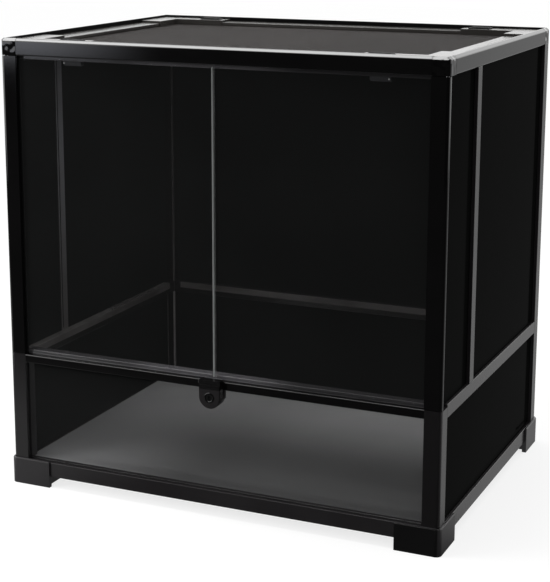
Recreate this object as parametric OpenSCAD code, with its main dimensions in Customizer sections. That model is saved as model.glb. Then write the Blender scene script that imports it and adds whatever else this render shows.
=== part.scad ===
// Front-opening glass reptile terrarium, flat-pack frame, in millimetres.
// +Z is up, +X is to the right and -Y is the front, where the two doors are.
// The origin is on the ground, under the centre of the frame.
// The doors are shut, the lock is open and the four lid latches are drawn in.

/* [Tank] */
// Width over the frame
tank_w = 600; // [460:1:900]
// Depth over the frame
tank_d = 450; // [380:1:600]
// Height from the ground to the top of the frame
tank_h = 600; // [420:1:900]
// Height of the middle frame above the ground
middle_top = 185; // [120:1:260]

/* [Frame] */
// Width of every rail and corner post
rail_w = 22; // [21:0.5:26]
// Height of the top rails
top_rail_h = 22; // [20:0.5:28]
// Height of the side and back middle rails
middle_rail_h = 17; // [16:0.5:24]
// Height of the front middle rail's face
front_rail_h = 11; // [10.5:0.5:14]
// Height of the bottom rails
bottom_rail_h = 20; // [19:0.5:26]
// Height of the bottom rails above the ground
ground_gap = 15; // [12:0.5:22]
// Radius of the corner posts' outer edge
post_round = 4.5; // [3.5:0.25:6]
// Chamfer along the top rails' outer edge
top_chamfer = 3.5; // [1:0.25:4]
// Width of the upright bar in each side
upright_w = 16; // [14:0.5:24]
// Distance from the front to the upright bar
upright_setback = 111; // [80:1:160]

/* [Glass] */
// Thickness of the fixed panes and the door glass
glass_t = 4; // [3:0.25:5]
// How far the fixed panes lie behind the frame's face
pane_inset = 5; // [4:0.25:6]
// How far a pane reaches into its groove
pane_grip = 4.7; // [3:0.1:5]
// Thickness of the floor panel
floor_t = 5; // [3:0.5:6]

/* [Doors] */
// Width of the hinge stile along each door's outer edge
stile_w = 23; // [20:0.5:30]
// Depth of the hinge stile
stile_depth = 9; // [8.5:0.25:11]
// How far the door glass lies behind the stile's face
door_glass_inset = 3.5; // [2.5:0.25:3.5]
// Gap between the two doors
door_gap = 1.6; // [1:0.1:4]
// Radius of the hinge pins
pin_r = 2; // [1.5:0.1:2.4]

/* [Feet] */
// Length of each arm of a foot
foot_arm = 56; // [45:1:80]
// Height of a foot
foot_h = 36; // [32:0.5:48]
// How far a foot stands proud of the frame
foot_proud = 3; // [2:0.25:5]
// Height of the inner walls of a foot above the ground
foot_lift = 4; // [2:0.5:6]

/* [Lid] */
// Width of the lid's rails
lid_rail_w = 33; // [30.5:0.5:45]
// Thickness of the lid's rails
lid_rail_h = 6; // [5:0.25:7]
// Length of a lid corner cap's arm along the front or back
cap_arm_x = 110; // [108:1:150]
// Length of a lid corner cap's arm along the side
cap_arm_y = 85; // [50:1:140]
// Gaps across the lid's net
net_gaps_x = 22; // [8:1:22]
// Gaps along the lid's net
net_gaps_y = 13; // [6:1:13]
// Width of the net's strands
net_strand = 2; // [1:0.25:4]

/* [Latches] */
// Distance from the tank's side to the middle of a latch
latch_setback = 92; // [88:1:94]
// Width of a latch's button
latch_w = 30; // [20:1:30]
// Travel of a latch
latch_travel = 6; // [4:0.5:6]
// Height of the hook under the top rail
hook_h = 12; // [6:0.5:16]

/* [Lock] */
// Width of the lock housing
lock_w = 29.5; // [26:0.5:40]
// How far the lock housing stands in front of the frame
lock_proud = 11; // [9:0.5:16]
// Radius of the lock's plug
plug_r = 4.6; // [3.5:0.1:5.5]
// Travel of the bolt
bolt_travel = 8; // [5:0.5:8]

/* [Hidden] */
$fn = 64;
// clearances: of a loose fit, of a pin in its bore, and above and below a door
slip = 0.3;
fit = 0.05;
door_play = 0.6;
// how far a cut runs past the face it opens, and a joined solid into its neighbour
over = 1;
// width taken off a sharp edge
ease = 1;
// half sizes of the frame
hw = tank_w / 2;
hd = tank_d / 2;
// levels
bottom_top = ground_gap + bottom_rail_h;
middle_bottom = middle_top - middle_rail_h;
sill_drop = 3;
sill_top = middle_top - sill_drop;
sill_bottom = sill_top - front_rail_h;
top_bottom = tank_h - top_rail_h;
ledge_h = 10;
ledge_top = top_bottom + ledge_h;
// grooves for the panes
groove_w = glass_t + 2 * slip;
groove_u = pane_inset - slip;
groove_d = pane_grip + slip;
groove_end = groove_u + groove_w;
// hollow inside a rail or post, and the pegs that fill its ends
core_wall = 1.6;
groove_wall = 1.4;
core_u = groove_end + groove_wall;
core_w = rail_w - core_u - core_wall;
peg_play = 0.15;
peg_w = core_w - 2 * peg_play;
peg_l = 14;
peg_root = rail_w - core_wall;
peg_root_l = peg_l + core_wall;
base_wall = 2;
base_core_u = 2.2;
base_core_w = 12;
base_core_z = ground_gap + base_wall;
base_core_h = bottom_rail_h - groove_d - 2.5 * base_wall;
// floor panel and its rebate
floor_ledge = 6;
floor_sunk = 1;
floor_clear = 1;
floor_seat = bottom_top - floor_t - floor_sunk;
// doors
hinge_u = post_round;
sill_lip = stile_depth + slip;
ridge_top = middle_top + 2;
door_bottom = middle_top + 0.2;
door_top = top_bottom - 3;
stile_bottom = sill_top + door_play;
stile_top = top_bottom - door_play;
stile_groove_d = 9;
glue_t = 0.1;
head_stop_w = 3;
head_stop_drop = 5;
pin_hole = pin_r + fit;
pin_in_frame = 8;
// front end of the grooves for the narrow side panes, behind the stiles
side_groove_start = stile_depth + 0.4;
side_pane_start = side_groove_start + slip;
pin_in_stile = 16;
// hollow under the feet
foot_floor = 6.5;
foot_hollow = ground_gap - foot_floor;
// lid
frame_wall = 5;
lid_play = 0.8;
lid_u = frame_wall + lid_play;
lid_seat = slip;
lid_bottom = ledge_top + lid_seat;
lid_top = lid_bottom + lid_rail_h;
cap_t = 3;
skirt_t = 1.6;
net_t = 1;
net_play = 0.15;
net_bottom = lid_bottom + net_play;
lid_inner_x = hw - lid_u - lid_rail_w;
lid_inner_y = hd - lid_u - lid_rail_w;
// latches, measured from the frame's face with the latch drawn in
hook_u = rail_w + 0.4;
web_t = 2.5;
web_u = hook_u + latch_travel;
web_w = latch_w - 4;
button_play = 0.5;
hook_top = top_bottom - 0.5;
button_l = 20;
button_u = frame_wall + latch_travel + button_play;
button_h = 5;
rib_n = 4;
rib_w = 1.4;
rib_h = 0.8;
window_w = latch_w + 1.2;
window_end = button_u + button_l + 0.8;
// rebate for the net, which ends inside the latches' slots
net_wall = 1.1;
net_rebate = lid_u + lid_rail_w - (web_u + web_t + slip + net_wall);
net_lap = net_rebate - slip;
// lock
lock_r = lock_w / 2;
lock_z = sill_bottom - 8.3;
lock_top = door_bottom - 0.5;
plug_hole = plug_r + fit;
ring_w = 1.8;
ring_h = 0.8;
bolt_w = lock_w - 5.5;
bolt_t = 2.5;
bolt_u = 0.3;
bolt_h = 28.5;
bolt_top = lock_top - 0.3;
bolt_slot_d = bolt_u + bolt_t + slip;
channel_bottom = bolt_top - bolt_h - slip;
block_d = pane_inset - 0.4;
block_w = lock_w + 2.4;
block_bottom = channel_bottom - 2;
shoulder_z = lock_z - 2.7;
disc_r = 7.6;
disc_t = 1.2;
disc_gap = 0.3;
crank_r = bolt_travel / 2 / sin(45);
crank_pin_r = 1.5;
crank_pin_l = disc_gap + bolt_u + bolt_t - 0.2;

// ---- placing -----------------------------------------------------------

// A section drawn as (distance in from the front face, height), run along X
module run_front(length) {
    translate([-length / 2, -hd, 0]) rotate([90, 0, 90]) linear_extrude(length) children();
}

// The same along Y, measured in from the left face
module run_left(length) {
    translate([-hw, length / 2, 0]) rotate([90, 0, 0]) linear_extrude(length) children();
}

// Sends a piece drawn at the front left to one of the four corners
module to_corner(right, back) {
    mirror([right ? 1 : 0, 0, 0]) mirror([0, back ? 1 : 0, 0]) children();
}

// Puts the local origin on the front left corner of the frame
module at_corner(z) {
    translate([-hw, -hd, z]) children();
}

// ---- sections ----------------------------------------------------------

// Square post with its outer edge rounded
module post_outline(size, r) {
    translate([r, 0]) square([size - r, size]);
    translate([0, r]) square([r, size - r]);
    translate([r, r]) circle(r);
}

// Pane groove, opening upwards (up = true) or downwards from the height z
module groove_section(z, up) {
    translate([groove_u, up ? z - groove_d : z - over]) square([groove_w, groove_d + over]);
}

module bottom_rail_section() {
    difference() {
        translate([0, ground_gap]) square([rail_w, bottom_rail_h]);
        groove_section(bottom_top, true);
        translate([rail_w - floor_ledge, floor_seat]) square([rail_w, bottom_rail_h]);
        translate([base_core_u, base_core_z]) square([base_core_w, base_core_h]);
    }
}

module middle_rail_section() {
    difference() {
        translate([0, middle_bottom]) square([rail_w, middle_rail_h]);
        groove_section(middle_top, true);
        groove_section(middle_bottom, false);
        translate([core_u, middle_bottom + core_wall])
            square([core_w, middle_rail_h - 2 * core_wall]);
    }
}

// The front rail is lower, with a ridge behind the doors that stops them
module sill_section() {
    difference() {
        polygon([
            [0, sill_bottom], [rail_w, sill_bottom], [rail_w, ridge_top],
            [sill_lip + ease, ridge_top], [sill_lip, ridge_top - ease], [sill_lip, sill_top],
            [ease, sill_top], [0, sill_top - ease]
        ]);
        groove_section(sill_bottom, false);
        translate([core_u, sill_bottom + core_wall])
            square([core_w, ridge_top - sill_bottom - 2 * core_wall]);
    }
}

// Hollow foot of the top rail with a wall outside that frames the lid
module top_rail_outline() {
    polygon([
        [ease, top_bottom], [rail_w, top_bottom], [rail_w, ledge_top], [frame_wall, ledge_top],
        [frame_wall, tank_h], [top_chamfer, tank_h], [0, tank_h - top_chamfer],
        [0, top_bottom + ease]
    ]);
}

module top_rail_core() {
    translate([core_u, top_bottom + core_wall]) square([core_w, ledge_h - 2 * core_wall]);
}

module top_rail_section(glazed) {
    difference() {
        union() {
            top_rail_outline();
            if (!glazed)
                translate([sill_lip, top_bottom - head_stop_drop])
                    square([head_stop_w, head_stop_drop + over]);
        }
        if (glazed) groove_section(top_bottom, false);
        top_rail_core();
    }
}

// ---- base --------------------------------------------------------------

// Two arms of an angle, w wide, l long and h high, from the local corner
module angle(l, w, h) {
    cube([l, w, h]);
    cube([w, l, h]);
}

module foot() {
    rim = 3;
    rib = 2;
    wrap = rail_w + foot_proud + rim;
    cell = rail_w - rim;
    arm_cell = foot_arm - rim - rail_w - rib;
    at_corner(0) difference() {
        // shoe, with the edge of its top eased
        union() {
            linear_extrude(foot_h - ease) foot_outline(foot_arm, wrap, 0);
            translate([0, 0, foot_h - ease]) linear_extrude(ease)
                foot_outline(foot_arm, wrap, ease / 2);
        }
        // channel that the rails and the post stand in
        translate([0, 0, ground_gap]) angle(foot_arm + over, rail_w, foot_h);
        // the inner wall ends under the floor panel
        translate([rail_w, rail_w, floor_seat - floor_clear]) cube([foot_arm, foot_arm, foot_h]);
        // only the outer skirt reaches the ground
        translate([rim, rim, -over]) cube([foot_arm, foot_arm, foot_lift + over]);
        // hollow underside: a cell at the corner and one in each arm
        translate([rim, rim, -over]) cube([cell, cell, foot_hollow + over]);
        translate([rail_w + rib, rim, -over]) cube([arm_cell, cell, foot_hollow + over]);
        translate([rim, rail_w + rib, -over]) cube([cell, arm_cell, foot_hollow + over]);
    }
    // peg that the hollow post drops over
    at_corner(ground_gap) translate([core_u + peg_play, core_u + peg_play, 0])
        cube([peg_w, peg_w, peg_l]);
}

// Plan of the shoe: an angle round the corner, eased by e
module foot_outline(l, w, e) {
    r = post_round + foot_proud - e;
    translate([e - foot_proud, e - foot_proud]) {
        translate([r, 0]) square([l + foot_proud - 2 * e - r, w - 2 * e]);
        translate([0, r]) square([w - 2 * e, l + foot_proud - 2 * e - r]);
        translate([r, r]) circle(r);
    }
}

module bottom_rail_x() {
    run_front(tank_w - 2 * rail_w) bottom_rail_section();
}

module bottom_rail_y() {
    run_left(tank_d - 2 * rail_w) bottom_rail_section();
}

module floor_panel() {
    grip = floor_ledge - slip;
    color([0.29, 0.29, 0.3])
        translate([-hw + rail_w - grip, -hd + rail_w - grip, floor_seat])
            cube([tank_w - 2 * (rail_w - grip), tank_d - 2 * (rail_w - grip), floor_t]);
}

// Post from the foot to the middle frame. Its pegs carry the rails' ends.
module lower_post(front) {
    plug_h = 2;
    top = front ? sill_top : middle_top;
    rail_bottom = front ? sill_bottom : middle_bottom;
    rail_top = front ? ridge_top : middle_top;
    at_corner(0) difference() {
        union() {
            translate([0, 0, ground_gap]) linear_extrude(top - ground_gap) post_section();
            // pegs for the bottom rails
            translate([peg_root, base_core_u + peg_play, base_core_z + peg_play])
                cube([peg_root_l, base_core_w - 2 * peg_play, base_core_h - 2 * peg_play]);
            translate([base_core_u + peg_play, peg_root, base_core_z + peg_play])
                cube([base_core_w - 2 * peg_play, peg_root_l, base_core_h - 2 * peg_play]);
            // pegs for the middle rails
            translate([peg_root, core_u + peg_play, rail_bottom + core_wall + peg_play])
                cube([
                    peg_root_l, peg_w,
                    min(rail_top, top) - rail_bottom - 2 * core_wall - 2 * peg_play
                ]);
            translate([core_u + peg_play, peg_root, middle_bottom + core_wall + peg_play])
                cube([
                    peg_w, peg_root_l,
                    min(middle_top, top) - middle_bottom - 2 * core_wall - 2 * peg_play
                ]);
            // plug in the hollow, with the peg that the upper post drops over
            if (!front) {
                translate([core_u - over, core_u - over, top - plug_h])
                    cube([core_w + 2 * over, core_w + 2 * over, plug_h]);
                translate([core_u + peg_play, core_u + peg_play, top - over])
                    cube([peg_w, peg_w, peg_l + over]);
            }
        }
        // slot for the corner of the floor panel
        translate([rail_w - floor_ledge, rail_w - floor_ledge, floor_seat])
            cube([floor_ledge + over, floor_ledge + over, floor_t + slip]);
        if (front) {
            // bearing hole for the door's lower pin
            translate([hinge_u, hinge_u, top - pin_in_frame - slip])
                cylinder(r = pin_hole, h = pin_in_frame + slip + over);
            // end of the narrow side pane's groove
            translate([groove_u, side_groove_start, middle_top - groove_d])
                cube([groove_w, rail_w, groove_d]);
        }
    }
}

// Hollow corner section with a pane groove in each inner face
module post_section() {
    difference() {
        post_outline(rail_w, post_round);
        translate([rail_w - groove_d, groove_u]) square([groove_d + over, groove_w]);
        translate([groove_u, rail_w - groove_d]) square([groove_w, groove_d + over]);
        translate([core_u, core_u]) square([core_w, core_w]);
    }
}

// ---- middle frame ------------------------------------------------------

module middle_rail_front() {
    color([0.1, 0.1, 0.1]) difference() {
        run_front(tank_w - 2 * rail_w) sill_section();
        // channel in the face that the bolt rises in
        translate([-bolt_w / 2 - slip, -hd - over, sill_bottom - over])
            cube([bolt_w + 2 * slip, bolt_slot_d + over, front_rail_h + 2 * over]);
    }
}

module middle_rail_y() {
    run_left(tank_d - 2 * rail_w) middle_rail_section();
}

// ---- glass -------------------------------------------------------------

// Pane across the front, with its edges in the grooves
module pane_x(bottom, top) {
    length = tank_w - 2 * rail_w + 2 * pane_grip;
    translate([-length / 2, -hd + pane_inset, bottom]) cube([length, glass_t, top - bottom]);
}

// Pane in the left side between two distances from the front
module pane_y(from, to, bottom, top) {
    translate([-hw + pane_inset, -hd + from, bottom]) cube([glass_t, to - from, top - bottom]);
}

module lower_pane_front() {
    color([0.3, 0.34, 0.34, 0.35])
        pane_x(bottom_top - pane_grip, sill_bottom + pane_grip);
}

module lower_pane_back() {
    color([0.06, 0.06, 0.06, 0.9])
        mirror([0, 1, 0]) pane_x(bottom_top - pane_grip, middle_bottom + pane_grip);
}

module lower_pane_side() {
    color([0.06, 0.06, 0.06, 0.9])
        pane_y(
            rail_w - pane_grip, tank_d - rail_w + pane_grip,
            bottom_top - pane_grip, middle_bottom + pane_grip
        );
}

module upper_pane_back() {
    color([0.06, 0.06, 0.06, 0.9])
        mirror([0, 1, 0]) pane_x(middle_top - pane_grip, top_bottom + pane_grip);
}

module side_pane_narrow() {
    color([0.06, 0.06, 0.06, 0.9])
        pane_y(
            side_pane_start, upright_setback + pane_grip,
            middle_top - pane_grip, top_bottom + pane_grip
        );
}

module side_pane_wide() {
    color([0.06, 0.06, 0.06, 0.9])
        pane_y(
            upright_setback + upright_w - pane_grip, tank_d - rail_w + pane_grip,
            middle_top - pane_grip, top_bottom + pane_grip
        );
}

// ---- upper frame -------------------------------------------------------

module upper_post() {
    color([0.1, 0.1, 0.1]) mirror([0, 1, 0])
        at_corner(middle_top) linear_extrude(top_bottom - middle_top) post_section();
}

// Bar between the two side panes. Its tongues stand in the rails' grooves.
module side_upright() {
    back_wall = 2.6;
    depth = groove_end + back_wall;
    tongue_y = upright_w - 2 * groove_d;
    color([0.1, 0.1, 0.1]) at_corner(0) translate([0, upright_setback, 0]) {
        translate([0, 0, middle_top]) linear_extrude(top_bottom - middle_top) difference() {
            square([depth, upright_w]);
            translate([groove_u, -over]) square([groove_w, groove_d + over]);
            translate([groove_u, upright_w - groove_d]) square([groove_w, groove_d + over]);
        }
        translate([pane_inset, groove_d, middle_top - pane_grip])
            cube([glass_t, tongue_y, pane_grip + over]);
        translate([pane_inset, groove_d, top_bottom - over])
            cube([glass_t, tongue_y, pane_grip + over]);
    }
}

module top_rail_x(glazed) {
    color([0.1, 0.1, 0.1]) run_front(tank_w - 2 * rail_w) top_rail_section(glazed);
}

module top_rail_y() {
    color([0.1, 0.1, 0.1]) run_left(tank_d - 2 * rail_w) top_rail_section(true);
}

// Connector at a top corner: its pegs carry the top rails, and at the back the post
module top_corner(front) {
    peg_h = ledge_h - 2 * core_wall - 2 * peg_play;
    color([0.09, 0.09, 0.1]) difference() {
        union() {
            at_corner(top_bottom) linear_extrude(ledge_h) post_outline(rail_w, post_round);
            at_corner(ledge_top - over) linear_extrude(top_rail_h - ledge_h + over) difference() {
                post_outline(rail_w, post_round);
                translate([frame_wall, frame_wall]) square(rail_w);
            }
            at_corner(top_bottom + core_wall + peg_play) {
                translate([peg_root, core_u + peg_play, 0]) cube([peg_root_l, peg_w, peg_h]);
                translate([core_u + peg_play, peg_root, 0]) cube([peg_w, peg_root_l, peg_h]);
            }
            if (!front)
                at_corner(top_bottom - peg_l)
                    translate([core_u + peg_play, core_u + peg_play, 0])
                        cube([peg_w, peg_w, peg_l + over]);
        }
        // chamfers that carry on those of the rails
        at_corner(tank_h)
            for (swapped = [[0, 0, 0], [1, -1, 0]])
                mirror(swapped) rotate([0, 90, 0]) translate([0, 0, -over])
                    linear_extrude(rail_w + 2 * over) chamfer_cut();
        if (front) {
            // bearing hole for the door's upper pin
            at_corner(top_bottom - over) translate([hinge_u, hinge_u, 0])
                cylinder(r = pin_hole, h = pin_in_frame + slip + over);
            // end of the narrow side pane's groove
            at_corner(top_bottom) translate([groove_u, side_groove_start, -over])
                cube([groove_w, rail_w, groove_d + over]);
        } else {
            at_corner(top_bottom - over) {
                translate([rail_w - groove_d, groove_u, 0])
                    cube([groove_d + over, groove_w, groove_d + over]);
                translate([groove_u, rail_w - groove_d, 0])
                    cube([groove_w, groove_d + over, groove_d + over]);
            }
        }
    }
}

// Triangle that takes off an edge, point outwards
module chamfer_cut() {
    polygon([
        [-over, -over], [top_chamfer, -over], [top_chamfer, 0], [0, top_chamfer],
        [-over, top_chamfer]
    ]);
}

// ---- doors, drawn as the left one --------------------------------------

// Stile with a half-round outer edge about the hinge line
module door_stile() {
    color([0.08, 0.08, 0.08]) at_corner(stile_bottom) difference() {
        linear_extrude(stile_top - stile_bottom) difference() {
            union() {
                translate([hinge_u, hinge_u]) circle(hinge_u);
                translate([hinge_u, 0]) square([stile_w - hinge_u - ease, stile_depth]);
                translate([hinge_u, ease]) square([stile_w - hinge_u, stile_depth - ease]);
            }
            translate([stile_w - stile_groove_d, door_glass_inset - glue_t])
                square([stile_groove_d + over, glass_t + 2 * glue_t]);
        }
        translate([hinge_u, hinge_u, -over]) cylinder(r = pin_hole, h = pin_in_stile + over);
        translate([hinge_u, hinge_u, stile_top - stile_bottom - pin_in_stile])
            cylinder(r = pin_hole, h = pin_in_stile + over);
    }
}

module door_glass() {
    start = stile_w - stile_groove_d + slip;
    color([0.35, 0.4, 0.4, 0.3])
        translate([-hw + start, -hd + door_glass_inset, door_bottom])
            cube([hw - start - door_gap / 2, glass_t, door_top - door_bottom]);
}

// Two steel pins, each half in the frame and half in the stile
module door_pins() {
    length = pin_in_frame + door_play + pin_in_stile - slip;
    color([0.6, 0.6, 0.62]) {
        at_corner(sill_top - pin_in_frame) translate([hinge_u, hinge_u, 0])
            cylinder(r = pin_r, h = length);
        at_corner(top_bottom + pin_in_frame - length) translate([hinge_u, hinge_u, 0])
            cylinder(r = pin_r, h = length);
    }
}

// ---- lock --------------------------------------------------------------

// Front view of the housing: square shoulders above, half round below
module lock_outline(e) {
    translate([0, lock_z]) circle(lock_r - e);
    translate([-lock_r + e, lock_z]) square([2 * (lock_r - e), lock_top - lock_z - e]);
}

// A front view given thickness, from y0 back to y1
module face_plate(y0, y1) {
    translate([0, y1, 0]) rotate([90, 0, 0]) linear_extrude(y1 - y0) children();
}

module lock_housing() {
    front = -hd - lock_proud;
    brow_h = 4.5;
    line_h = 1.4;
    line_d = 0.8;
    color([0.12, 0.12, 0.12]) difference() {
        union() {
            face_plate(front + ease, -hd) lock_outline(0);
            face_plate(front, front + ease) lock_outline(ease);
            // brow along the top of the face
            translate([-lock_r, front, lock_top - brow_h]) cube([lock_w, lock_proud, brow_h]);
            // ring round the plug
            face_plate(front - ring_h, front) translate([0, lock_z]) circle(plug_r + ring_w);
            // block behind the face, under the rail, with a wider shoulder
            face_plate(-hd - over, -hd + block_d) intersection() {
                lock_outline(0);
                translate([-lock_r, block_bottom])
                    square([lock_w, sill_bottom - block_bottom]);
            }
            translate([-block_w / 2, -hd, shoulder_z])
                cube([block_w, block_d, sill_bottom - shoulder_z]);
        }
        // shadow line under the brow
        translate([-lock_r - over, front - over, lock_top - brow_h - line_h])
            cube([lock_w + 2 * over, line_d + over, line_h]);
        // bore for the plug and room for its disc
        face_plate(front - ring_h - over, 0) translate([0, lock_z]) circle(plug_hole);
        face_plate(-hd - disc_t - disc_gap - slip, -hd + over) translate([0, lock_z])
            circle(disc_r + slip);
        // channel for the bolt
        translate([-bolt_w / 2 - slip, -hd, channel_bottom])
            cube([bolt_w + 2 * slip, bolt_slot_d, sill_bottom]);
    }
}

module lock_plug() {
    sunk = 0.4;
    key_w = 1.4;
    key_h = 6;
    key_d = 2;
    bit_w = 2 * key_w;
    bit_h = 1.2;
    face = -hd - lock_proud - ring_h + sunk;
    disc_back = -hd - disc_gap;
    // the crank points 45 degrees down when unlocked, and 45 up when locked
    crank = [crank_r * cos(45), lock_z - crank_r * sin(45)];
    color([0.6, 0.6, 0.62]) {
        difference() {
            face_plate(face, disc_back - disc_t / 2) translate([0, lock_z]) circle(plug_r);
            // keyway
            translate([-key_w / 2, face - over, lock_z - key_h / 2])
                cube([key_w, key_d + over, key_h]);
            translate([-bit_w / 2, face - over, lock_z - bit_h / 2])
                cube([bit_w, key_d + over, bit_h]);
        }
        face_plate(disc_back - disc_t, disc_back) translate([0, lock_z]) circle(disc_r);
        face_plate(disc_back - disc_t / 2, disc_back + crank_pin_l) translate(crank)
            circle(crank_pin_r);
    }
}

module lock_bolt() {
    crank_x = crank_r * cos(45);
    slot_h = 2 * crank_pin_r + 2 * slip;
    slot_end = crank_pin_r + slip;
    color([0.55, 0.55, 0.57]) difference() {
        translate([-bolt_w / 2, -hd + bolt_u, bolt_top - bolt_h]) cube([bolt_w, bolt_t, bolt_h]);
        // slot that the crank pin slides in
        translate([crank_x - slot_end, -hd, lock_z - bolt_travel / 2 - slot_h / 2])
            cube([crank_r - crank_x + 2 * slot_end, bolt_u + bolt_t + over, slot_h]);
    }
}

// ---- lid ---------------------------------------------------------------

// Flat rail with a rebate under its inner edge for the net
module lid_rail_section() {
    difference() {
        translate([lid_u, lid_bottom]) square([lid_rail_w, lid_rail_h]);
        translate([lid_u + lid_rail_w - net_rebate, lid_bottom - over])
            square([net_rebate + over, net_t + 2 * net_play + over]);
    }
}

// Slots for the two latches
module lid_rail_x() {
    color([0.12, 0.12, 0.12]) difference() {
        run_front(2 * (hw - lid_u)) lid_rail_section();
        for (side = [-1, 1])
            translate([
                side * (hw - latch_setback) - web_w / 2 - slip,
                -hd + web_u - latch_travel - slip, lid_bottom - over
            ])
                cube([
                    web_w + 2 * slip, latch_travel + web_t + 2 * slip, lid_rail_h + 2 * over
                ]);
    }
}

module lid_rail_y() {
    color([0.12, 0.12, 0.12]) run_left(2 * lid_inner_y) lid_rail_section();
}

// Angled cap that joins two lid rails, with a skirt inside and a window for the latch
module lid_corner() {
    inner = lid_u + lid_rail_w;
    skirt_z = net_bottom + net_t + net_play;
    end_cut = 6;
    color([0.14, 0.14, 0.14]) at_corner(0) difference() {
        union() {
            translate([0, 0, lid_top]) linear_extrude(cap_t) {
                translate([lid_u, lid_u]) square([cap_arm_x, lid_rail_w + skirt_t]);
                translate([lid_u, lid_u]) square([lid_rail_w + skirt_t, cap_arm_y]);
            }
            translate([inner, inner, skirt_z]) {
                cube([cap_arm_x - lid_rail_w, skirt_t, lid_top - skirt_z + over]);
                cube([skirt_t, cap_arm_y - lid_rail_w, lid_top - skirt_z + over]);
            }
        }
        translate([latch_setback - window_w / 2, 0, lid_top - over])
            cube([window_w, window_end, cap_t + 2 * over]);
        // ends of the arms are cut back towards the outside
        for (end = [[cap_arm_x, 0], [0, cap_arm_y]])
            translate([lid_u + end[0], lid_u + end[1], lid_top - over]) rotate([0, 0, 45])
                linear_extrude(cap_t + 2 * over) square(end_cut, center = true);
    }
}

module lid_net() {
    length = 2 * (lid_inner_x + net_lap);
    width = 2 * (lid_inner_y + net_lap);
    pitch_x = (length - net_strand) / net_gaps_x;
    pitch_y = (width - net_strand) / net_gaps_y;
    color([0.35, 0.34, 0.33]) translate([-length / 2, -width / 2, net_bottom])
        linear_extrude(net_t) difference() {
            square([length, width]);
            for (i = [0 : net_gaps_x - 1], j = [0 : net_gaps_y - 1])
                translate([net_strand + i * pitch_x, net_strand + j * pitch_y])
                    square([pitch_x - net_strand, pitch_y - net_strand]);
        }
}

// Sliding button with a web down through the lid and a hook for the top rail
module lid_latch() {
    web_end = web_u + web_t;
    hook_lead = 3;
    button_z = lid_top + slip;
    top_z = button_z + button_h - rib_h;
    nose_l = 3;
    nose_h = 1.5;
    rib_start = 6;
    rib_pitch = 3;
    translate([-hw + latch_setback, 0, 0]) color([0.14, 0.14, 0.14]) {
        run_front(web_w) {
            translate([web_u, hook_top - over]) square([web_t, button_z - hook_top + 2 * over]);
            polygon([
                [hook_u, hook_top], [web_end, hook_top], [web_end, hook_top - hook_h],
                [hook_u + hook_lead, hook_top - hook_h], [hook_u, hook_top - hook_h + hook_lead]
            ]);
        }
        // button with a sloping nose, and ribs across it for the thumb
        run_front(latch_w) polygon([
            [button_u, button_z], [button_u + button_l, button_z], [button_u + button_l, top_z],
            [button_u + nose_l, top_z], [button_u, button_z + nose_h]
        ]);
        for (i = [0 : rib_n - 1])
            run_front(web_w)
                translate([button_u + rib_start + i * rib_pitch, top_z - over])
                    square([rib_w, rib_h + over]);
    }
}

// ---- what is drawn -----------------------------------------------------

frame_black = [0.1, 0.1, 0.1];
post_black = [0.16, 0.16, 0.16];

color(post_black) to_corner(false, false) foot();  // foot_front_left
color(post_black) to_corner(true, false) foot();  // foot_front_right
color(post_black) to_corner(false, true) foot();  // foot_back_left
color(post_black) to_corner(true, true) foot();  // foot_back_right

color(post_black) bottom_rail_x();  // bottom_rail_front
color(post_black) mirror([0, 1, 0]) bottom_rail_x();  // bottom_rail_back
color(post_black) bottom_rail_y();  // bottom_rail_left
color(post_black) mirror([1, 0, 0]) bottom_rail_y();  // bottom_rail_right
floor_panel();

color(post_black) to_corner(false, false) lower_post(true);  // lower_post_front_left
color(post_black) to_corner(true, false) lower_post(true);  // lower_post_front_right
color(post_black) to_corner(false, true) lower_post(false);  // lower_post_back_left
color(post_black) to_corner(true, true) lower_post(false);  // lower_post_back_right

middle_rail_front();
color(frame_black) mirror([0, 1, 0])  // middle_rail_back
        run_front(tank_w - 2 * rail_w) middle_rail_section();
color(frame_black) middle_rail_y();  // middle_rail_left
color(frame_black) mirror([1, 0, 0]) middle_rail_y();  // middle_rail_right

lower_pane_front();
lower_pane_back();
lower_pane_side();  // lower_pane_left
mirror([1, 0, 0]) lower_pane_side();  // lower_pane_right

upper_post();  // upper_post_back_left
mirror([1, 0, 0]) upper_post();  // upper_post_back_right
side_upright();  // side_upright_left
mirror([1, 0, 0]) side_upright();  // side_upright_right
upper_pane_back();
side_pane_narrow();  // side_pane_narrow_left
mirror([1, 0, 0]) side_pane_narrow();  // side_pane_narrow_right
side_pane_wide();  // side_pane_wide_left
mirror([1, 0, 0]) side_pane_wide();  // side_pane_wide_right

top_rail_x(false);  // top_rail_front
mirror([0, 1, 0]) top_rail_x(true);  // top_rail_back
top_rail_y();  // top_rail_left
mirror([1, 0, 0]) top_rail_y();  // top_rail_right
to_corner(false, false) top_corner(true);  // top_corner_front_left
to_corner(true, false) top_corner(true);  // top_corner_front_right
to_corner(false, true) top_corner(false);  // top_corner_back_left
to_corner(true, true) top_corner(false);  // top_corner_back_right

door_stile();  // left_door_stile
door_glass();  // left_door_glass
door_pins();  // left_door_pins
mirror([1, 0, 0]) door_stile();  // right_door_stile
mirror([1, 0, 0]) door_glass();  // right_door_glass
mirror([1, 0, 0]) door_pins();  // right_door_pins

lock_housing();
lock_plug();
lock_bolt();

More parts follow.
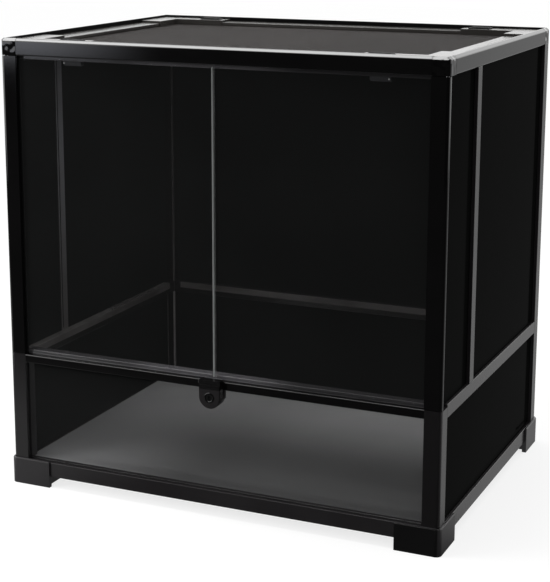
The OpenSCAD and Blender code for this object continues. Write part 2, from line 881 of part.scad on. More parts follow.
lid_rail_x();  // lid_rail_front
mirror([0, 1, 0]) lid_rail_x();  // lid_rail_back
lid_rail_y();  // lid_rail_left
mirror([1, 0, 0]) lid_rail_y();  // lid_rail_right
to_corner(false, false) lid_corner();  // lid_corner_front_left
to_corner(true, false) lid_corner();  // lid_corner_front_right
to_corner(false, true) lid_corner();  // lid_corner_back_left
to_corner(true, true) lid_corner();  // lid_corner_back_right
lid_net();
to_corner(false, false) lid_latch();  // lid_latch_front_left
to_corner(true, false) lid_latch();  // lid_latch_front_right
to_corner(false, true) lid_latch();  // lid_latch_back_left
to_corner(true, true) lid_latch();  // lid_latch_back_right
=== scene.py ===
"""Looks of a glass reptile terrarium: finishes, net, small lock and latch parts, lights, camera.

Metres, in the frame of the CAD model: +Z is up and -Y is the front, with the two doors.
"""

import math

import bmesh
import bpy
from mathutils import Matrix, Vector


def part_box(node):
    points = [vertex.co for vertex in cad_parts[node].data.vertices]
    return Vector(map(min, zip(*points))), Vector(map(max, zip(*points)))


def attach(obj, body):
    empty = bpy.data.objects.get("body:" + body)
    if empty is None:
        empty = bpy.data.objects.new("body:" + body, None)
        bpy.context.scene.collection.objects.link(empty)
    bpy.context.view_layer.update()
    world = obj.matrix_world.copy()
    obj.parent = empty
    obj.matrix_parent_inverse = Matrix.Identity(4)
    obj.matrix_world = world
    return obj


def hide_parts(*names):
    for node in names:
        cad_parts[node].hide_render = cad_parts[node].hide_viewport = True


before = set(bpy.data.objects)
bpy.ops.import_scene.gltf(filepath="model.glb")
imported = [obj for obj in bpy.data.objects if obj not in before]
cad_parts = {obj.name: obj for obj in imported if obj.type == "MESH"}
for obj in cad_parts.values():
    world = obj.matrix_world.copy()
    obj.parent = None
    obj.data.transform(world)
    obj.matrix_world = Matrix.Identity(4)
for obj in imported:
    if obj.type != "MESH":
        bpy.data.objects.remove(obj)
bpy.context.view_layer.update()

MM = 0.001

# camera: place, degrees down and to the left, lens in millimetres, and shift
CAMERA_PLACE = (0.819, -1.885, 0.772)
CAMERA_DOWN = 11.99
CAMERA_YAW = 24.47
CAMERA_LENS = 95.2
CAMERA_SHIFT_X = 0.0276
CAMERA_SHIFT_Y = -0.11

# how far edges are eased, by what the piece is made of, and the least angle that is an edge
MOULDED_EASE = 0.7 * MM
GLASS_EASE = 0.35 * MM
METAL_EASE = 0.2 * MM
EDGE_ANGLE = math.radians(40)
# how near each other the corners of a CAD piece's loose triangles are joined
WELD_REACH = 0.01 * MM

# outer faces of the tank, inner faces of its rails, and levels of its middle and top rails
OUTER_X, OUTER_Y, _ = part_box("top_corner_back_right")[1]
INNER_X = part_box("middle_rail_right")[0][0]
INNER_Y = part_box("middle_rail_back")[0][1]
MIDDLE_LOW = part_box("middle_rail_back")[0][2]
MIDDLE_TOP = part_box("middle_rail_back")[1][2]
TOP_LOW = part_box("top_rail_back")[0][2]

# glossy plastic: painted light makes it paler behind the doors, up to the top frame's lower side
BEHIND_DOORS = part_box("left_door_stile")[1][1] - 0.5 * MM
BELOW_TOP = TOP_LOW + 0.75 * MM
# the lid's seat, within the top frame's rim
SEAT_LOW = TOP_LOW + 10.25 * MM
SEAT_X = OUTER_X - 4.6 * MM
SEAT_Y = OUTER_Y - 4.6 * MM
# where the painted light on the sill gets stronger and fades again, from the left
SILL_PAINTED_LIGHT_RISES = (-0.14, -0.08)
SILL_PAINTED_LIGHT_FADES = (0.04, 0.12)

# posts: front faces and the back ones' inner faces, both with painted shade, and their inner corner
# and strip beside a side pane, both painted highlights
POST_FRONT = -OUTER_Y + 0.75 * MM
POST_INSIDE_X = OUTER_X - 6 * MM
POST_INSIDE_Y = OUTER_Y - 6 * MM
POST_CORNER_X = INNER_X + 1.9 * MM
POST_CORNER_Y = INNER_Y + 3.1 * MM
POST_STRIP_X = INNER_X + 10.9 * MM

# rails and uprights: inner faces, which get painted light and shade, the stretch beside a back
# post, in painted shade, and the upper half of a middle rail, in painted light
RAIL_INSIDE_X = INNER_X + 10.8 * MM
RAIL_INSIDE_Y = INNER_Y + 0.6 * MM
RAIL_CORNER_X = INNER_X - 11 * MM
RAIL_CORNER_Y = INNER_Y - 14 * MM
RAIL_PALE = MIDDLE_LOW + 8 * MM
# the back rail, and where the painted light on its upper half fades towards the right
BACK_RAIL = INNER_Y - 8 * MM
BACK_RAIL_FADES = (-0.2, 0.05)
# foot of the uprights, the height over which painted light makes them paler, and their groove,
# drawn dark with painted shade
UPRIGHT_LOW = MIDDLE_TOP + 3.5 * MM
UPRIGHT_PALER = (0.2, 0.5)
GROOVE_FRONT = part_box("side_upright_right")[0][1] + 1.7 * MM
GROOVE_BACK = GROOVE_FRONT + 2.2 * MM

# front faces of the feet, where painted shade blackens the right one
FOOT_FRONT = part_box("foot_front_right")[0][1] + 0.9 * MM

# dark, dull line along each of the lid's rails, painted shade of a groove: middle, half width, and
# the level that it stays under
LID_LINE_X = OUTER_X - 21.5 * MM
LID_LINE_Y = OUTER_Y - 21.5 * MM
LID_LINE_HALF = 0.85 * MM
LID_LINE_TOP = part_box("lid_rail_back")[1][2] + 0.3 * MM

# half the gap between the doors, their lower edge, how far a polished edge's painted highlight
# shows on the glass's faces, and the share of light that the right door's edge shows of what the
# left one's does
HALF_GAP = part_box("right_door_glass")[0][0]
DOOR_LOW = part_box("right_door_glass")[0][2] - 0.7 * MM
HIGHLIGHT_SEEN = 0.3 * MM
RIGHT_HIGHLIGHT_SHARE = 0.2

# floor glass: where painted light and reflection make it paler towards the back, and less pale from
# the left
FLOOR_BACK = (-0.08, 0.2)
FLOOR_SIDE = (-0.26, -0.04)

# woven net of the lid
WIRE_PITCH = 1.6 * MM
WIRE_THICKNESS = 0.5 * MM

# lock: the front edge of its housing that gets a painted highlight, and the level where its face
# gets blacker
LOCK_LOW = Vector(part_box("lock_housing")[0])
LOCK_HIGHLIGHT_X = LOCK_LOW.x + 1.35 * MM
LOCK_HIGHLIGHT_Y = LOCK_LOW.y + 0.9 * MM
LOCK_HIGHLIGHT_Z = LOCK_LOW.z + 11.05 * MM
LOCK_BLACKER = LOCK_LOW.z + 25.05 * MM

# collar round the lock's plug: radii, height, how deep it is sunk, and the steps of its
# rounded section and of its way round
COLLAR_INNER = 4.6 * MM
COLLAR_OUTER = 6.6 * MM
COLLAR_HEIGHT = 0.6 * MM
COLLAR_SUNK = 0.1 * MM
COLLAR_SECTION = 8
COLLAR_ROUND = 48

# a latch's hook, which is what lies under the top frame, and the pin head in it: diameter,
# distance from the hook's outer end, and height above its foot
HOOK_TOP = TOP_LOW - 0.4 * MM
PIN_HEAD = 2.4 * MM
PIN_INSET = 1.8 * MM
PIN_RAISED = 3.6 * MM

# studio floor: how far it reaches each way, how white other rays than the camera's find it in
# front of the tank and under it, where the first ends, and how much of white glows or is paint
FLOOR_REACH = 9.0
FLOOR_DARK = 0.045
FLOOR_BRIGHT = 0.45
FLOOR_AHEAD = (-0.3, 0.0)
FLOOR_GLOW = 0.78
FLOOR_PAINT = 0.25
# its brighter patch at the near left: level, and where it ends to the right and to the front
PATCH_LEVEL = 0.35
PATCH_RIGHT = (-0.35, -0.12)
PATCH_FRONT = (-0.75, -0.45)

# softbox: where it starts, turned left from straight in front, its lower edge, how sharp its
# edges are, and its light
SOFTBOX_TURN = math.radians(30.0)
SOFTBOX_LOW = -0.125
SOFTBOX_BLUR = 0.03
SOFTBOX_LEVEL = 2.4
# the foot of it that gloss finds on the floor: where it starts aside and ahead, and its colour
SOFTBOX_ASIDE = (-0.25, 0.5)
SOFTBOX_AHEAD = (-5.4, -4.9)
SOFTBOX_COLOUR = (2.3, 2.36, 2.6)

# what gloss finds of the room in front, and of the wall behind at its foot and higher up
ROOM_LEVEL = 0.025
WALL_LEVELS = (1.3, 1.9)
# directions over which the wall starts, towards the back, and gets brighter, upwards
WALL_STARTS = (-0.2, 0.3)
WALL_RISES = (0.0, 0.45)
# plain light: from everywhere, what is added from above and from behind, and where it rises
PLAIN_LEVEL = 0.3
PLAIN_ABOVE = 0.5
PLAIN_BEHIND = 0.25
PLAIN_RISES = (-0.1, 0.7)

# a Mix node's sockets for colours
MIX_FIRST = 6
MIX_SECOND = 7
MIX_RESULT = 2
# refraction of glass and plastic
REFRACTION = 1.5


# ---- finishes ----------------------------------------------------------

class Value:
    """An output in a finish. Reckoning with it adds Math nodes."""

    def __init__(self, finish, socket):
        self.finish = finish
        self.socket = socket

    def maths(self, operation, *numbers):
        inputs = dict(enumerate(numbers))
        return self.finish.node("ShaderNodeMath", {"operation": operation}, inputs)

    def __add__(self, other):
        return self.maths("ADD", self, other)

    __radd__ = __add__

    def __mul__(self, other):
        return self.maths("MULTIPLY", self, other)

    __rmul__ = __mul__

    def __sub__(self, other):
        return self.maths("SUBTRACT", self, other)

    def __rsub__(self, other):
        return self.maths("SUBTRACT", other, self)

    def distance(self):
        """How far this value is from nought."""
        return self.maths("ABSOLUTE", self)

    def ramp(self, low, high, start=0.0, end=1.0):
        """Goes smoothly from start to end as this value goes from low to high."""
        inputs = {"Value": self, "From Min": low, "From Max": high, "To Min": start, "To Max": end}
        return self.finish.node("ShaderNodeMapRange", {"interpolation_type": "SMOOTHSTEP"}, inputs)

    def above(self, place, blur=0.2 * MM):
        """Nought below a place and one above it, with a blurred step."""
        return self.ramp(place - blur / 2, place + blur / 2)

    def below(self, place, blur=0.2 * MM):
        """One below a place and nought above it, with a blurred step."""
        return self.ramp(place - blur / 2, place + blur / 2, 1.0, 0.0)

    def spread(self, least=0.0, most=1.0):
        """Stretches a noise, most of which lies from 0.3 to 0.7, from least to most."""
        return self.ramp(0.3, 0.7, least, most)


class Finish:
    """A material or world whose nodes are made by one method."""

    def __init__(self, owner):
        owner.use_nodes = True
        self.owner = owner
        self.tree = owner.node_tree
        self.tree.nodes.clear()

    def node(self, kind, settings=None, inputs=None, output=0):
        made = self.tree.nodes.new(kind)
        for name, value in (settings or {}).items():
            setattr(made, name, value)
        for name, value in (inputs or {}).items():
            if isinstance(value, Value):
                self.tree.links.new(value.socket, made.inputs[name])
            else:
                made.inputs[name].default_value = value
        return Value(self, made.outputs[output]) if made.outputs else None

    def place(self, stretch=(1.0, 1.0, 1.0)):
        """Object coordinates, stretched along each axis."""
        point = self.node("ShaderNodeTexCoord", output="Object")
        return self.node("ShaderNodeMapping", {}, {"Vector": point, "Scale": stretch})

    def parts(self, point):
        """The point's x, y and z."""
        return [self.node("ShaderNodeSeparateXYZ", {}, {"Vector": point}, output=axis)
                for axis in "XYZ"]

    def noise(self, point, scale, detail=3.0, roughness=0.55):
        inputs = {"Vector": point, "Scale": scale, "Detail": detail, "Roughness": roughness}
        return self.node("ShaderNodeTexNoise", {}, inputs)

    def cloud(self, point):
        """Broad patches, as dust and handling leave on plastic."""
        return self.noise(point, 9.0, detail=4.0)

    def speckle(self, point):
        """Fine grain of a moulded skin."""
        return self.noise(point, 1400.0, detail=2.0)

    def blend(self, factor, first, second):
        """A colour between two others, each three numbers or another blend."""
        ends = [end if isinstance(end, Value) else (*end, 1.0) for end in (first, second)]
        inputs = {"Factor": factor, MIX_FIRST: ends[0], MIX_SECOND: ends[1]}
        return self.node("ShaderNodeMix", {"data_type": "RGBA"}, inputs, output=MIX_RESULT)

    def mottle(self, cloud, dark, pale):
        """A colour that drifts from dark to pale with a cloud."""
        return self.blend(cloud.ramp(0.35, 0.75), dark, pale)

    def bump(self, height, strength, distance, under=None):
        """Normals of a height, on a flat surface or on another bump."""
        inputs = {"Height": height, "Strength": strength, "Distance": distance}
        if under:
            inputs["Normal"] = under
        return self.node("ShaderNodeBump", {}, inputs)

    def grain(self, speckle, strength):
        """Normals of a moulded skin."""
        return self.bump(speckle, strength, 0.2 * MM)

    def principled(self, **inputs):
        named = {name.replace("_", " "): value for name, value in inputs.items()}
        return self.node("ShaderNodeBsdfPrincipled", {}, {"IOR": REFRACTION, **named})

    def end(self, shader):
        self.node("ShaderNodeOutputMaterial", {}, {"Surface": shader})
        return self.owner

    def surface(self, **inputs):
        """Ends a material in one Principled shader."""
        return self.end(self.principled(**inputs))


def material(name):
    return Finish(bpy.data.materials.new(name))


def moulding(name, dark, pale, rough, strength, shade=None):
    """Plastic with a fine grain, faint flow streaks and a little dust.

    Shade says of a point's x, y and z how black painted shade makes it there.
    """
    look = material(name)
    point = look.place()
    streaks = look.noise(look.place((3.0, 3.0, 0.6)), 14.0)
    cloud = look.cloud(point)
    colour = look.mottle(cloud, dark, pale)
    # painted shade where shade asks for it
    if shade:
        colour = look.blend(shade(*look.parts(point)), colour, (0.003, 0.0028, 0.003))
    return look.surface(
        Base_Color=colour,
        Roughness=cloud.spread(rough, rough + 0.05) + streaks.ramp(0.5, 0.8, 0.0, 0.03),
        Normal=look.grain(look.speckle(point), strength))


def polished_plastic(name="polished_plastic", wave=0.0):
    """Doors' stiles, front sill and top frame: almost black and glossy.

    What lies behind the doors' glass is paler with painted light, and the seat of the lid is matt.
    """
    look = material(name)
    point = look.place()
    x, y, z = look.parts(point)
    cloud = look.cloud(point)
    # painted light on what lies behind the doors' glass
    behind = y.above(BEHIND_DOORS, 0.6 * MM) * z.below(BELOW_TOP, 0.5 * MM)
    seat = (z.above(SEAT_LOW, 1.5 * MM) * x.distance().below(SEAT_X, 0.6 * MM)
            * y.distance().below(SEAT_Y, 0.6 * MM))
    black = look.mottle(cloud, (0.0016, 0.0015, 0.0016), (0.003, 0.0028, 0.003))
    # painted light along the sill, strongest in its middle stretch; the pale colour is that painted
    # light
    sill_painted_light = x.ramp(*SILL_PAINTED_LIGHT_RISES, 0.3, 1.0) * x.ramp(*SILL_PAINTED_LIGHT_FADES, 1.0, 0.2)
    pale = look.blend(sill_painted_light, (0.012, 0.0115, 0.012), (0.085, 0.082, 0.088))
    skin = look.grain(look.speckle(point), 0.03)
    if wave:
        skin = look.bump(look.noise(point, 60.0, detail=1.0), wave, 4 * MM, skin)
    glossy = look.principled(
        Base_Color=look.blend(behind, black, pale),
        Roughness=cloud.spread(0.045, 0.075), Normal=skin)
    matt = look.principled(
        Base_Color=(0.003, 0.003, 0.003, 1.0), Roughness=0.8, Specular_IOR_Level=0.05)
    return look.end(look.node("ShaderNodeMixShader", {}, {"Fac": seat, 1: glossy, 2: matt}))


def connector_plastic():
    """Corner connectors of the top frame: as glossy, but slightly wavy."""
    return polished_plastic("connector_plastic", 0.5)


def satin_black(look, cloud):
    """Very dark grey of the posts, rails and uprights."""
    return look.mottle(cloud, (0.018, 0.0165, 0.0175), (0.024, 0.0225, 0.0235))


def satin_surface(look, point, cloud, colour):
    """Ends a finish of the posts, rails or uprights."""
    return look.surface(
        Base_Color=colour, Roughness=cloud.spread(0.2, 0.25),
        Normal=look.grain(look.speckle(point), 0.06))


def frame_plastic():
    """Posts: a satin dark grey, darker on the front faces with painted shade.

    Inside the tank the back ones are black with painted shade, with two bright lines that are
    painted highlights.
    """
    look = material("frame_plastic")
    point = look.place()
    x, y, z = look.parts(point)
    cloud = look.cloud(point)
    # painted shade on the back posts' inner faces
    inside = (x.distance().below(POST_INSIDE_X, 1 * MM) * y.ramp(0.0, 0.01)
              * y.below(POST_INSIDE_Y, 1 * MM))
    # painted highlights along their inner corner and beside a side pane
    corner = (x.distance().below(POST_CORNER_X) * y.below(POST_CORNER_Y)
              * z.ramp(MIDDLE_LOW, MIDDLE_LOW + 2 * MM, 1.0, 0.35))
    strip = x.distance().above(POST_STRIP_X) * z.ramp(MIDDLE_LOW, MIDDLE_LOW + 2 * MM, 0.25, 0.0)
    lines = look.blend(corner + strip, (0.004, 0.0022, 0.002), (0.3, 0.29, 0.29))
    # painted shade on the front faces
    front = y.below(POST_FRONT, 0.5 * MM)
    outside_with_painted_shade = look.blend(front, satin_black(look, cloud), (0.009, 0.0083, 0.0088))
    return satin_surface(look, point, cloud, look.blend(inside, outside_with_painted_shade, lines))


def rail_plastic():
    """Rails and uprights: as the posts, but with painted light and shade on the faces inside the
    tank.

    The middle rails are pale with painted light in their upper half only, and black with painted
    shade below it and beside the back posts. The uprights are paler towards the top with painted
    light, with a groove near the front edge drawn dark with painted shade.
    """
    look = material("rail_plastic")
    point = look.place()
    x, y, z = look.parts(point)
    cloud = look.cloud(point)
    # streaks in the painted light
    painted_light_streaks = look.noise(look.place((1.0, 1.0, 3.0)), 7.0)
    tall = z.above(UPRIGHT_LOW, 3 * MM)
    # inner faces: painted light on their upper part, painted shade on the rest
    inside = (x.distance().below(RAIL_INSIDE_X, 0.4 * MM)
              * y.distance().below(RAIL_INSIDE_Y, 0.4 * MM))
    # painted shade beside the back posts, fading of the painted light along the back rail, and the
    # groove's painted shade
    corner = x.distance().above(RAIL_CORNER_X, 2 * MM) * y.above(RAIL_CORNER_Y, 2 * MM)
    fading = y.above(BACK_RAIL, 10 * MM) * x.ramp(*BACK_RAIL_FADES, 0.0, 0.5)
    groove = y.above(GROOVE_FRONT) * y.below(GROOVE_BACK) * tall
    painted_light_inside = inside * z.above(RAIL_PALE, 1 * MM) * (1.0 - corner) * (1.0 - fading) * (1.0 - groove)
    black = look.blend(inside, satin_black(look, cloud), (0.007, 0.006, 0.006))
    low = look.blend(painted_light_streaks.ramp(0.4, 0.6), (0.085, 0.078, 0.077), (0.14, 0.132, 0.13))
    high = look.blend(z.ramp(*UPRIGHT_PALER), (0.12, 0.114, 0.114), (0.3, 0.3, 0.32))
    colour = look.blend(painted_light_inside, black, look.blend(tall, low, high))
    return satin_surface(look, point, cloud, colour)


def foot_plastic():
    """Feet: satin black, and blacker with painted shade on the front face of the right one."""
    def shade(x, y, _):
        # painted shade on the right foot's front face
        return y.below(FOOT_FRONT, 0.6 * MM) * x.above(0.0)

    return moulding(
        "foot_plastic", (0.02, 0.0185, 0.02), (0.027, 0.0255, 0.027), 0.3, 0.12, shade)


def lid_plastic():
    """Lid's rails and corner caps, with a dull line along the middle of each rail, darkened with
    painted shade of a groove.
    """
    look = material("lid_plastic")
    point = look.place()
    x, y, z = look.parts(point)
    cloud = look.cloud(point)
    # painted shade of a groove along the middle of each rail, also rougher
    sides = (x.distance() - LID_LINE_X).distance().below(LID_LINE_HALF, 0.3 * MM)
    ends = (y.distance() - LID_LINE_Y).distance().below(LID_LINE_HALF, 0.3 * MM)
    line = (sides + ends - sides * ends) * z.below(LID_LINE_TOP)
    colour = look.mottle(cloud, (0.03, 0.028, 0.026), (0.042, 0.039, 0.036))
    return look.surface(
        Base_Color=look.blend(line, colour, (0.01, 0.009, 0.008)),
        Roughness=cloud.spread(0.19, 0.24) + line * 0.5,
        Normal=look.grain(look.speckle(point), 0.1))


def latch_plastic():
    """Latches: black and duller than the lid, with paler hooks."""
    look = material("latch_plastic")
    point = look.place()
    _, _, z = look.parts(point)
    speckle = look.speckle(point)
    black = look.blend(speckle, (0.007, 0.007, 0.007), (0.01, 0.01, 0.01))
    hook = z.ramp(HOOK_TOP, HOOK_TOP + 1 * MM, 1.0, 0.0)
    return look.surface(
        Base_Color=look.blend(hook, black, (0.055, 0.055, 0.06)),
        Roughness=speckle.spread(0.45, 0.55), Specular_IOR_Level=0.12,
        Normal=look.grain(speckle, 0.1))


def lock_plastic():
    """Lock's housing, with a painted highlight down its left front edge."""
    look = material("lock_plastic")
    point = look.place()
    x, y, z = look.parts(point)
    speckle = look.speckle(point)
    # painted highlight on the left front edge
    painted_highlight = x.below(LOCK_HIGHLIGHT_X, 0.4 * MM) * y.below(LOCK_HIGHLIGHT_Y, 0.4 * MM) * z.above(LOCK_HIGHLIGHT_Z, 2 * MM)
    black = look.blend(
        z.above(LOCK_BLACKER, 2 * MM), (0.018, 0.0165, 0.0175), (0.004, 0.0038, 0.004))
    return look.surface(
        Base_Color=look.blend(painted_highlight, black, (0.36, 0.36, 0.37)),
        Roughness=speckle.spread(0.2, 0.26), Normal=look.grain(speckle, 0.08))


def collar_plastic():
    """Collar of the lock: deep black and polished."""
    return moulding("collar_plastic", (0.002, 0.002, 0.002), (0.004, 0.004, 0.004), 0.07, 0.0)


def smoked_glass():
    """Side and back panes, almost black, with hardly any shine."""
    look = material("smoked_glass")
    cloud = look.noise(look.place(), 2.5)
    colour = look.blend(cloud.spread(), (0.0040, 0.0041, 0.0040), (0.0050, 0.0052, 0.0050))
    return look.surface(
        Base_Color=colour, Roughness=cloud.spread(0.08, 0.14), Specular_IOR_Level=0.001)


def clear_glass():
    """Door and lower front glass: nearly invisible, with a grey veil of painted reflection, and
    with pale painted highlights on the polished edges beside the gap.
    """
    look = material("clear_glass")
    point = look.place()
    x, _, z = look.parts(point)
    cloud = look.noise(point, 5.0)
    outer = HALF_GAP + HIGHLIGHT_SEEN
    inner = HALF_GAP - HIGHLIGHT_SEEN
    # painted highlight of the polished edges beside the gap
    near = (x.distance().ramp(inner, inner + 0.1 * MM) * z.above(DOOR_LOW, 1 * MM)
            * x.distance().ramp(outer, outer + 0.1 * MM, 1.0, 0.0))
    edge = near * x.ramp(-inner, inner, 1.0, RIGHT_HIGHLIGHT_SHARE)
    # grey veil of painted reflection over the glass
    body = look.blend(cloud, (0.08, 0.082, 0.082), (0.104, 0.107, 0.106))
    return look.surface(
        Base_Color=look.blend(near, body, (0.62, 0.64, 0.63)),
        Roughness=cloud.ramp(0.45, 0.8, 0.02, 0.05) + edge * 0.3,
        Alpha=cloud.ramp(0.2, 0.8, 0.045, 0.055) + edge * 0.94)


def floor_glass():
    """Base panel: grey glass, paler towards the back and the left with painted light and
    reflection.
    """
    look = material("floor_glass")
    point = look.place()
    x, y, _ = look.parts(point)
    cloud = look.noise(point, 3.0).spread()
    near = look.blend(cloud, (0.095, 0.095, 0.096), (0.11, 0.11, 0.111))
    # painted light and reflection towards the back and the left
    far = look.blend(cloud, (0.51, 0.51, 0.515), (0.58, 0.58, 0.585))
    colour = look.blend(y.ramp(*FLOOR_BACK), near, far)
    colour = look.blend(x.ramp(*FLOOR_SIDE, 0.35, 0.0), colour, (0.6, 0.6, 0.61))
    return look.surface(Base_Color=colour, Roughness=cloud.ramp(0.0, 1.0, 0.02, 0.05))


def steel(name, colour, rough):
    """Drawn or plated metal with fine lines along its length."""
    look = material(name)
    lines = look.noise(look.place((1.0, 1.0, 0.04)), 2500.0, detail=2.0)
    pale = tuple(min(1.0, part * 1.08) for part in colour)
    return look.surface(
        Base_Color=look.blend(lines, colour, pale), Metallic=1.0,
        Roughness=lines.spread(rough, rough + 0.1), Normal=look.bump(lines, 0.15, 0.05 * MM))


def pin_steel():
    """Hinge pins and bolt."""
    return steel("pin_steel", (0.56, 0.56, 0.57), 0.28)


def plug_nickel():
    """Plug of the lock."""
    return steel("plug_nickel", (0.06, 0.06, 0.06), 0.22)


def pin_painted_highlight():
    """Pin heads of the latches' hooks: pale with a painted highlight, so that they show under the
    top frame.
    """
    # pale colour as a painted highlight
    return moulding("pin_painted_highlight", (0.7, 0.7, 0.71), (0.8, 0.8, 0.81), 0.2, 0.0)


def net_wire():
    """Dark coated wire."""
    look = material("net_wire")
    cloud = look.noise(look.place(), 6.0)
    colour = look.blend(cloud.spread(), (0.038, 0.035, 0.0335), (0.047, 0.0425, 0.041))
    return look.surface(Base_Color=colour, Roughness=0.6, Metallic=0.0, Specular_IOR_Level=0.1)


def studio_floor():
    """White floor that keeps a soft shadow.

    To everything but the camera it is dark in front of the tank, less so at the near left, and
    gloss finds the foot of the softbox far off at the left.
    """
    look = material("studio_floor")
    place = look.place()
    x, y, _ = look.parts(place)
    speck = look.noise(place, 30.0)
    seen = look.node("ShaderNodeLightPath", output="Is Camera Ray")
    gloss = look.node("ShaderNodeLightPath", output="Is Glossy Ray")
    ahead = y.ramp(*FLOOR_AHEAD, 1.0, 0.0)
    patch = ahead * x.ramp(*PATCH_RIGHT, PATCH_LEVEL, 0.0) * y.ramp(*PATCH_FRONT)
    aside = y * math.sin(SOFTBOX_TURN) - x * math.cos(SOFTBOX_TURN)
    softbox = gloss * aside.ramp(*SOFTBOX_ASIDE) * y.ramp(*SOFTBOX_AHEAD, 1.0, 0.0)
    level = seen + (ahead.ramp(0.0, 1.0, FLOOR_BRIGHT, FLOOR_DARK) + patch) * (1.0 - seen)
    plain = look.blend(level, (0.0, 0.0, 0.0), (FLOOR_GLOW, FLOOR_GLOW, FLOOR_GLOW))
    colour = look.blend(level, (0.0, 0.0, 0.0), (FLOOR_PAINT, FLOOR_PAINT, FLOOR_PAINT))
    return look.surface(
        Base_Color=colour, Roughness=speck.ramp(0.0, 1.0, 0.85, 0.9), Specular_IOR_Level=0.0,
        Emission_Color=look.blend(softbox, plain, SOFTBOX_COLOUR), Emission_Strength=1.0)


# ---- pieces ------------------------------------------------------------

def finish_mesh(name, shape, look, body):
    """Makes an object of a bmesh, which already lies in the model's frame."""
    mesh = bpy.data.meshes.new(name)
    shape.to_mesh(mesh)
    shape.free()
    mesh.materials.append(look)
    piece = bpy.data.objects.new(name, mesh)
    bpy.context.scene.collection.objects.link(piece)
    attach(piece, body)
    return piece


def add_bar(shape, low, high):
    """Adds a box between two corners to a bmesh."""
    low = Vector(low)
    high = Vector(high)
    made = bmesh.ops.create_cube(shape, size=1.0)
    bmesh.ops.scale(shape, vec=high - low, verts=made["verts"])
    bmesh.ops.translate(shape, vec=(low + high) / 2, verts=made["verts"])


def woven_net(look):
    """Straight wires in two layers, in the space of the net of the lid."""
    low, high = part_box("lid_net")
    shape = bmesh.new()
    middle = (low[2] + high[2]) / 2
    half = WIRE_THICKNESS / 2
    for along, across in ((0, 1), (1, 0)):
        layer = middle + (half if along == 0 else -half)
        room = high[across] - low[across] - WIRE_THICKNESS
        count = int(room / WIRE_PITCH)
        for i in range(count + 1):
            start = [0.0, 0.0, layer - half]
            end = [0.0, 0.0, layer + half]
            start[along] = low[along]
            end[along] = high[along]
            start[across] = low[across] + i * room / count
            end[across] = start[across] + WIRE_THICKNESS
            add_bar(shape, start, end)
    piece = finish_mesh("woven_net", shape, look, "lid")
    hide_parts("lid_net")


def plug_collar(look):
    """Rounded collar on the lock's face. Its section is turned about the plug's axis."""
    low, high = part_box("lock_plug")
    centre = Vector(((low[0] + high[0]) / 2, LOCK_LOW.y, (low[2] + high[2]) / 2))
    middle = (COLLAR_INNER + COLLAR_OUTER) / 2
    half = (COLLAR_OUTER - COLLAR_INNER) / 2
    points = []
    for i in range(COLLAR_SECTION + 1):
        turn = math.pi * i / COLLAR_SECTION
        out = middle - half * math.cos(turn)
        points.append(centre + Vector((out, COLLAR_SUNK - COLLAR_HEIGHT * math.sin(turn), 0.0)))
    shape = bmesh.new()
    corners = [shape.verts.new(point) for point in points]
    edges = [shape.edges.new(pair) for pair in zip(corners, corners[1:] + corners[:1])]
    bmesh.ops.spin(
        shape, geom=corners + edges, cent=centre, axis=(0.0, 1.0, 0.0), angle=math.tau,
        steps=COLLAR_ROUND, use_merge=True)
    bmesh.ops.recalc_face_normals(shape, faces=shape.faces)
    for side in shape.faces:
        side.smooth = True
    finish_mesh("plug_collar", shape, look, "frame")


def pin_head(name, latch, body, look):
    """Pin head in the outer end of a latch's hook, half sunk in its outer face."""
    corners = [latch.matrix_world @ corner.co for corner in latch.data.vertices]
    hook = [corner for corner in corners if corner.z < HOOK_TOP]
    end = max((corner.x for corner in hook), key=abs)
    face = max((corner.y for corner in hook), key=abs)
    low = min(corner.z for corner in hook)
    shape = bmesh.new()
    bmesh.ops.create_uvsphere(shape, u_segments=16, v_segments=8, radius=PIN_HEAD / 2)
    place = Vector((end - math.copysign(PIN_INSET, end), face, low + PIN_RAISED))
    bmesh.ops.translate(shape, vec=place, verts=shape.verts)
    for side in shape.faces:
        side.smooth = True
    finish_mesh(name, shape, look, body)


def latch_pins(look):
    """A pin head on each latch, which rides with it."""
    for node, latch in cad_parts.items():
        if node.startswith("lid_latch"):
            body = node.replace("lid_latch", "latch")
            pin_head(node.replace("lid_latch", "latch_pin"), latch, body, look)


def soften(part, ease):
    """Joins a CAD piece's triangles and eases its edges."""
    weld = part.modifiers.new("weld", "WELD")
    weld.merge_threshold = WELD_REACH
    bevel = part.modifiers.new("ease", "BEVEL")
    bevel.width = ease
    bevel.segments = 2
    bevel.limit_method = "ANGLE"
    bevel.angle_limit = EDGE_ANGLE
    bevel.harden_normals = False


def dress(look, ease, *starts):
    """Gives the CAD pieces whose names start so their finish and eased edges."""
    for node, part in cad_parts.items():
        if node.startswith(starts):
            part.data.materials.clear()
            part.data.materials.append(look)
            soften(part, ease)


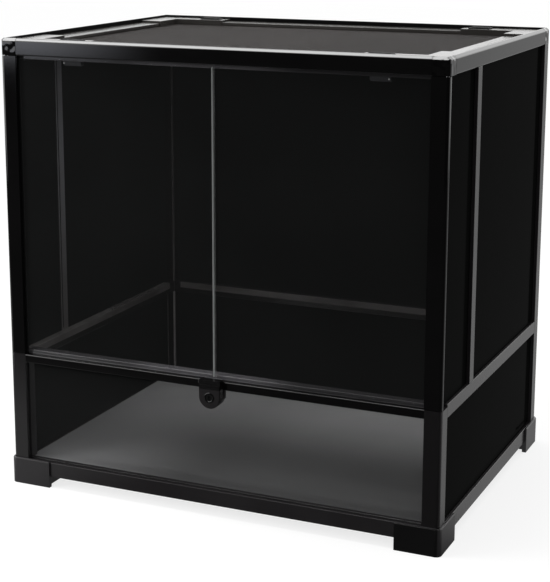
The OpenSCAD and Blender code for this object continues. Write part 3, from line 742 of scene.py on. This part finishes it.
def dress_all():
    """Every CAD piece but the lid's net, which is replaced."""
    dress(polished_plastic(), MOULDED_EASE, "middle_rail_front", "top_rail", "left_door_stile",
          "right_door_stile")
    dress(connector_plastic(), MOULDED_EASE, "top_corner")
    dress(frame_plastic(), MOULDED_EASE, "upper_post", "lower_post")
    dress(rail_plastic(), MOULDED_EASE, "middle_rail_back", "middle_rail_left",
          "middle_rail_right", "side_upright", "bottom_rail")
    dress(foot_plastic(), MOULDED_EASE, "foot_")
    dress(lid_plastic(), MOULDED_EASE, "lid_rail", "lid_corner")
    dress(latch_plastic(), METAL_EASE, "lid_latch")
    dress(lock_plastic(), MOULDED_EASE, "lock_housing")
    dress(smoked_glass(), GLASS_EASE, "lower_pane_back", "lower_pane_left", "lower_pane_right",
          "upper_pane", "side_pane")
    dress(clear_glass(), GLASS_EASE, "lower_pane_front", "left_door_glass", "right_door_glass")
    dress(floor_glass(), GLASS_EASE, "floor_panel")
    dress(pin_steel(), METAL_EASE, "left_door_pins", "right_door_pins", "lock_bolt")
    dress(plug_nickel(), METAL_EASE, "lock_plug")


# ---- studio ------------------------------------------------------------

def make_floor(look):
    shape = bmesh.new()
    bmesh.ops.create_grid(shape, x_segments=1, y_segments=1, size=FLOOR_REACH)
    mesh = bpy.data.meshes.new("floor")
    shape.to_mesh(mesh)
    shape.free()
    mesh.materials.append(look)
    floor = bpy.data.objects.new("floor", mesh)
    bpy.context.scene.collection.objects.link(floor)


def light_world():
    """White where the camera sees it.

    Gloss finds a dark room in front, a bright wall behind that gets brighter upwards, and a
    softbox at the far left. The plain light comes mostly from above and behind.
    """
    world = bpy.data.worlds.new("studio")
    bpy.context.scene.world = world
    sky = Finish(world)
    direction = sky.node("ShaderNodeTexCoord", output="Generated")
    across, depth, height = sky.parts(direction)
    seen = sky.node("ShaderNodeLightPath", output="Is Camera Ray")
    gloss = sky.node("ShaderNodeLightPath", output="Is Glossy Ray")
    back = depth.ramp(*WALL_STARTS)
    wall = ROOM_LEVEL + back * height.ramp(*WALL_RISES, *WALL_LEVELS)
    aside = depth * math.sin(SOFTBOX_TURN) - across * math.cos(SOFTBOX_TURN)
    softbox = (aside.above(0.0, 2 * SOFTBOX_BLUR) * (1.0 - back)
               * height.ramp(SOFTBOX_LOW, SOFTBOX_LOW + SOFTBOX_BLUR / 2))
    plain = PLAIN_LEVEL + height.ramp(*PLAIN_RISES, 0.0, PLAIN_ABOVE) + back * PLAIN_BEHIND
    level = gloss * (wall + softbox * SOFTBOX_LEVEL) + (1.0 - gloss) * plain
    white = {"Color": (1.0, 1.0, 1.0, 1.0), "Strength": seen + level * (1.0 - seen)}
    shader = sky.node("ShaderNodeBackground", {}, white)
    sky.node("ShaderNodeOutputWorld", {}, {"Surface": shader})


def area_lamp(name, place, aim, size, power, in_gloss=True):
    data = bpy.data.lights.new(name, "AREA")
    data.shape = "RECTANGLE"
    data.size, data.size_y = size
    data.energy = power
    lamp = bpy.data.objects.new(name, data)
    lamp.location = place
    lamp.rotation_euler = (Vector(aim) - Vector(place)).to_track_quat("-Z", "Y").to_euler()
    lamp.visible_glossy = in_gloss
    bpy.context.scene.collection.objects.link(lamp)


def hang_lamps():
    """One lamp over the back, one high up off the front left corner, one low at the left."""
    area_lamp("overhead", place=(-0.1, 0.3, 2.2), aim=(-0.1, 0.3, 0.0), size=(1.0, 0.8), power=10.0)
    area_lamp(
        "overhead_left", place=(-0.77, -0.41, 2.2), aim=(-0.77, -0.41, 0.0), size=(1.7, 0.35),
        power=19.0)
    area_lamp(
        "left_front", place=(-1.0, -0.95, 0.7), aim=(-0.2, 0.0, 0.3), size=(0.5, 0.5), power=7.0,
        in_gloss=False)


def make_camera():
    data = bpy.data.cameras.new("camera")
    data.lens = CAMERA_LENS
    data.shift_x = CAMERA_SHIFT_X
    data.shift_y = CAMERA_SHIFT_Y
    camera = bpy.data.objects.new("camera", data)
    camera.location = CAMERA_PLACE
    camera.rotation_euler = (math.radians(90 - CAMERA_DOWN), 0.0, math.radians(CAMERA_YAW))
    bpy.context.scene.collection.objects.link(camera)
    bpy.context.scene.camera = camera


bpy.context.scene.view_settings.view_transform = "Standard"
make_camera()
make_floor(studio_floor())
light_world()
hang_lamps()
dress_all()
woven_net(net_wire())
plug_collar(collar_plastic())
latch_pins(pin_painted_highlight())
